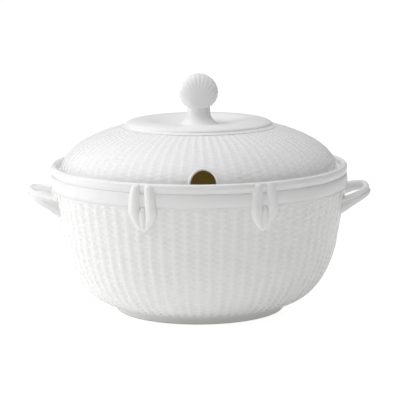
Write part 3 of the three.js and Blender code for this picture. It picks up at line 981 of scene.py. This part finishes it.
def build_tureen(tree):
    fit(bowl_body(), PLAIN_GLAZE, "tureen", "smooth_china", "bowl")
    fit(bowl_weave(tree), WOVEN_GLAZE, "tureen", "woven_china", "bowl")
    fit(foot_ring(), FOOT_GLAZE, "tureen", "foot_china", "foot_ring")
    for side, turn in (("right", 0.0), ("left", math.pi)):
        fit(handle(f"reeded_handle_{side}", turn), PLAIN_GLAZE, "tureen", "smooth_china", f"handle_{side}")
    for place, turn in (
        ("front_left", -LOOP_ANGLE),
        ("front_right", LOOP_ANGLE),
        ("back_right", math.pi - LOOP_ANGLE),
        ("back_left", math.pi + LOOP_ANGLE),
    ):
        fit(rim_loop(f"loop_{place}", turn), PLAIN_GLAZE, "tureen", "smooth_china", f"rim_loop_{place}")


def build_lid(tree):
    cutter = notch_cutter()
    fit(cut(lid_body(), cutter), PLAIN_GLAZE, "lid", "smooth_china", "lid_dome")
    fit(cut(lid_weave(tree), cutter), WOVEN_GLAZE, "lid", "woven_china", "lid_dome")
    fit(cut(lid_flange(), cutter), PLAIN_GLAZE, "lid", "smooth_china", "lid_flange")
    bpy.data.objects.remove(cutter)
    fit(notch_edge(), PLAIN_GLAZE, "lid", "smooth_china", "lid_dome")
    fit(lid_cap(), PLAIN_GLAZE, "lid", "smooth_china", "lid_cap")
    fit(knob_stem(), PLAIN_GLAZE, "lid", "smooth_china", "finial_collar")
    fit(shell_knob(), KNOB_GLAZE, "lid", "smooth_china", "shell_finial")


# ---------------------------------------------------------------- studio

def floor():
    """A pale round table top under the tureen."""
    mesh = bpy.data.meshes.new("table")
    work = bmesh.new()
    bmesh.ops.create_circle(work, cap_ends=True, segments=96, radius=6.0)
    work.to_mesh(mesh)
    work.free()
    table = new_object("table", mesh)
    material = bpy.data.materials.new("table_paper")
    material.use_nodes = True
    tree = material.node_tree
    n = NodeMaths(tree)
    paper = tree.nodes["Principled BSDF"]
    paper.inputs["Base Color"].default_value = (0.5, 0.5, 0.5, 1.0)
    paper.inputs["Roughness"].default_value = 0.9
    paper.inputs["Emission Color"].default_value = (1.0, 1.0, 1.0, 1.0)
    paper.inputs["Emission Strength"].default_value = 0.82
    bounce = n.node("ShaderNodeBsdfPrincipled")
    bounce.inputs["Base Color"].default_value = (0.93, 0.93, 0.92, 1.0)
    bounce.inputs["Roughness"].default_value = 1.0
    bounce.inputs["Specular IOR Level"].default_value = 0.0
    bounce.inputs["Emission Color"].default_value = (1.0, 0.99, 0.98, 1.0)
    bounce.inputs["Emission Strength"].default_value = 0.16
    mix = n.node("ShaderNodeMixShader")
    n.feed(mix.inputs[0], n.node("ShaderNodeLightPath").outputs["Is Camera Ray"])
    n.feed(mix.inputs[1], bounce.outputs[0])
    n.feed(mix.inputs[2], paper.outputs[0])
    n.feed(tree.nodes["Material Output"].inputs[0], mix.outputs[0])
    mesh.materials.append(material)


def area_light(name, place, size, watts, colour=(1.0, 1.0, 1.0), glossy=True):
    light = bpy.data.lights.new(name, "AREA")
    light.shape = "DISK"
    light.size = size
    light.energy = watts
    light.color = colour
    lamp = new_object(name, light)
    lamp.location = place
    lamp.rotation_euler = (Vector((0, 0, 0.09)) - Vector(place)).to_track_quat("-Z", "Y").to_euler()
    lamp.visible_glossy = glossy


TENT_LIGHT = 0.24
LEFT_LAMP_WATTS = 16.5
TOP_LAMP_WATTS = 25.0
GLOW_WATTS = 0.009
TENT_FALL = 0.14  # the tent is this much darker at the front, and this much lighter behind
TENT_RISE = 0.13  # and this much lighter straight overhead


def studio_light():
    """A white tent, lighter overhead and behind, with a soft lamp to the left and a larger, stronger one
    overhead. Neither lamp shows in the glaze. The little light that comes through the china walls is
    warm, and a faint glow inside stands for it."""
    world = bpy.data.worlds.new("white_tent")
    world.use_nodes = True
    bpy.context.scene.world = world
    tree = world.node_tree
    tree.nodes.clear()
    n = NodeMaths(tree)
    tent = n.node("ShaderNodeBackground")
    tent.inputs["Color"].default_value = (0.985, 0.985, 1.0, 1.0)
    towards = n.node("ShaderNodeSeparateXYZ")
    n.feed(towards.inputs[0], n.node("ShaderNodeTexCoord").outputs["Generated"])
    level = n.math("ADD", TENT_LIGHT, n.math("MULTIPLY", towards.outputs["Y"], TENT_FALL))
    level = n.math("ADD", level, n.math("MULTIPLY", towards.outputs["Z"], TENT_RISE))
    n.feed(tent.inputs["Strength"], level)
    seen = n.node("ShaderNodeBackground")
    seen.inputs["Strength"].default_value = 1.0
    seen.inputs["Color"].default_value = (1.0, 1.0, 1.0, 1.0)
    mix = n.node("ShaderNodeMixShader")
    n.feed(mix.inputs[0], n.node("ShaderNodeLightPath").outputs["Is Camera Ray"])
    n.feed(mix.inputs[1], tent.outputs[0])
    n.feed(mix.inputs[2], seen.outputs[0])
    n.feed(n.node("ShaderNodeOutputWorld").inputs[0], mix.outputs[0])
    area_light("left_lamp", (-1.95, 0.3, 0.75), 1.1, LEFT_LAMP_WATTS, (0.98, 0.99, 1.0), glossy=False)
    area_light("top_lamp", (-0.5, -0.2, 1.8), 2.2, TOP_LAMP_WATTS, glossy=False)
    glow = bpy.data.lights.new("glow", "POINT")
    glow.energy = GLOW_WATTS
    glow.color = (1.0, 0.62, 0.12)
    glow.shadow_soft_size = 0.03
    inside = new_object("warm_glow", glow)
    inside.location = (0.0, 0.02, 0.1)
    bpy.context.scene.view_settings.view_transform = "Standard"


CAMERA_DISTANCE = 1.580
CAMERA_LIFT = math.radians(9.467)
CAMERA_SWING = math.radians(1.75)
CAMERA_TARGET = Vector((0.0007, 0.0, 0.09218))
CAMERA_ROLL = math.radians(-0.4)


def camera():
    """A long lens a little above the rim, just left of the front."""
    data = bpy.data.cameras.new("camera")
    data.sensor_width = 36.0
    data.lens = 166.95
    view = new_object("camera", data)
    flat = math.cos(CAMERA_LIFT)
    away = Vector((-math.sin(CAMERA_SWING) * flat, -math.cos(CAMERA_SWING) * flat, math.sin(CAMERA_LIFT)))
    view.location = CAMERA_TARGET + away * CAMERA_DISTANCE
    turn = (-away).to_track_quat("-Z", "Y").to_matrix()
    view.rotation_euler = (turn @ Matrix.Rotation(CAMERA_ROLL, 3, "Z")).to_euler()
    bpy.context.scene.camera = view


WEAVE = weave_tree()
build_tureen(WEAVE)
build_lid(WEAVE)
floor()
studio_light()
camera()
